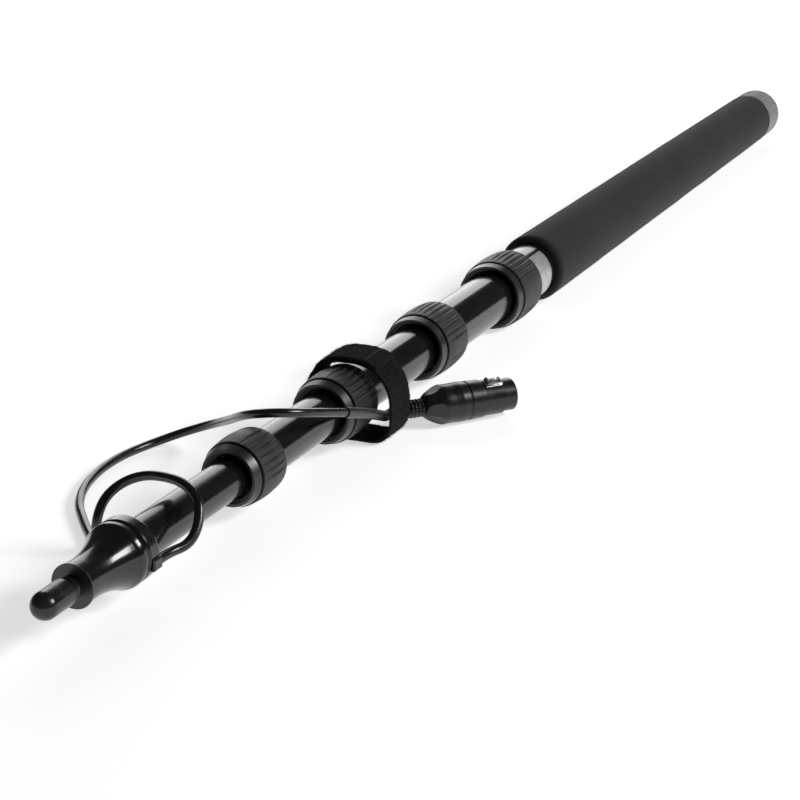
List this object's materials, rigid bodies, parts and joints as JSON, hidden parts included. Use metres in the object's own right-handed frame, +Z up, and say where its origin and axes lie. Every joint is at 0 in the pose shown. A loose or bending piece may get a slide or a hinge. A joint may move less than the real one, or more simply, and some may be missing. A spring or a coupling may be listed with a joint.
{
  "type": "telescopic boom pole",
  "caption": "Collapsed telescopic microphone pole with twist-lock collars, threaded tip, foam grip and an internal coiled cable that ends in a free lead with a latching connector.",
  "frame": {"origin": "on the resting surface, below the middle of the closed pole's axis", "axes": "+Y along the pole from the microphone tip to the grip end, +Z up"},
  "size_m": [0.1514, 1.08, 0.043],
  "materials": {
    "gloss_black_anodised": "gloss black anodised tube",
    "white_nylon": "white nylon",
    "satin_black_metal": "satin black anodised",
    "black_rubber": "matt moulded rubber",
    "bare_aluminium": "machined",
    "grey_acetal": "moulded acetal",
    "wiper_felt": "felt",
    "cap_rubber": "soft black vinyl",
    "bright_steel": "machined steel",
    "black_foam": "closed-cell foam",
    "label_foil": "blank metal foil",
    "grey_cap": "light grey knurled",
    "insert_plastic": "moulded",
    "contact_metal": "plated",
    "black_pvc": "glossy PVC jacket",
    "shrink_sleeve": "satin heat-shrink tube",
    "boot_plastic": "moulded boot",
    "black_chrome_shell": "satin black shell",
    "latch_chrome": "polished",
    "strap_hook_loop": "hook-and-loop tape"
  },
  "bodies": {
    "base": {"tube_5": "gloss_black_anodised", "foam_grip": "black_foam", "serial_label": "label_foil", "ferrule_4": "bare_aluminium", "collet_4": "grey_acetal", "output_insert": "insert_plastic", "output_pins": "contact_metal", "coil_tail": "black_pvc", "base_cap": "grey_cap"},
    "section_4": {"tube_4": "gloss_black_anodised", "guide_bush_4": "white_nylon", "ferrule_3": "bare_aluminium", "collet_3": "grey_acetal"},
    "section_3": {"tube_3": "gloss_black_anodised", "guide_bush_3": "white_nylon", "ferrule_2": "bare_aluminium", "collet_2": "grey_acetal"},
    "section_2": {"tube_2": "gloss_black_anodised", "guide_bush_2": "white_nylon", "ferrule_1": "bare_aluminium", "collet_1": "grey_acetal"},
    "tip": {"tube_1": "gloss_black_anodised", "guide_bush_1": "white_nylon", "tip_cone": "satin_black_metal", "exit_ring": "satin_black_metal", "exit_gland": "black_rubber", "mic_stud": "bright_steel", "coil_cable": "black_pvc", "mic_cable": "black_pvc", "cable_sleeve": "shrink_sleeve", "plug_boot": "boot_plastic", "plug_chuck": "boot_plastic", "plug_shell": "black_chrome_shell", "plug_insert": "insert_plastic", "plug_contacts": "contact_metal", "cable_strap": "strap_hook_loop"},
    "cap": {"thread_cap": "cap_rubber"},
    "latch": {"plug_latch": "latch_chrome"},
    "lock_ring_1": {"lock_nut_1": "satin_black_metal", "grip_sleeve_1": "black_rubber", "wiper_1": "wiper_felt"},
    "lock_ring_2": {"lock_nut_2": "satin_black_metal", "grip_sleeve_2": "black_rubber", "wiper_2": "wiper_felt"},
    "lock_ring_3": {"lock_nut_3": "satin_black_metal", "grip_sleeve_3": "black_rubber", "wiper_3": "wiper_felt"},
    "lock_ring_4": {"lock_nut_4": "satin_black_metal", "grip_sleeve_4": "black_rubber", "wiper_4": "wiper_felt"}
  },
  "joints": [
    {"name": "section_4_slide", "type": "slide", "parent": "base", "child": "section_4", "axis": [0, -1, 0], "range_m": [0, 0.465]},
    {"name": "section_3_slide", "type": "slide", "parent": "section_4", "child": "section_3", "axis": [0, -1, 0], "range_m": [0, 0.567]},
    {"name": "section_2_slide", "type": "slide", "parent": "section_3", "child": "section_2", "axis": [0, -1, 0], "range_m": [0, 0.669]},
    {"name": "tip_slide", "type": "slide", "parent": "section_2", "child": "tip", "axis": [0, -1, 0], "range_m": [0, 0.752]},
    {"name": "lock_ring_1_twist", "type": "hinge", "parent": "section_2", "child": "lock_ring_1", "pos_m": [0, -0.38235, 0.0205], "axis": [0, 1, 0], "range_deg": [0, 120]},
    {"name": "lock_ring_2_twist", "type": "hinge", "parent": "section_3", "child": "lock_ring_2", "pos_m": [0, -0.29075, 0.0205], "axis": [0, 1, 0], "range_deg": [0, 120]},
    {"name": "lock_ring_3_twist", "type": "hinge", "parent": "section_4", "child": "lock_ring_3", "pos_m": [0, -0.1799, 0.0205], "axis": [0, 1, 0], "range_deg": [0, 120]},
    {"name": "lock_ring_4_twist", "type": "hinge", "parent": "base", "child": "lock_ring_4", "pos_m": [0, -0.0704, 0.0205], "axis": [0, 1, 0], "range_deg": [0, 120]},
    {"name": "thread_cap_pull", "type": "slide", "parent": "tip", "child": "cap", "axis": [0, -1, 0], "range_m": [0, 0.02]},
    {"name": "latch_press", "type": "slide", "parent": "tip", "child": "latch", "axis": [-0.2839, 0.2444, -0.9272], "range_m": [0, 0.0007], "stiffness_N_per_m": 600}
  ]
}
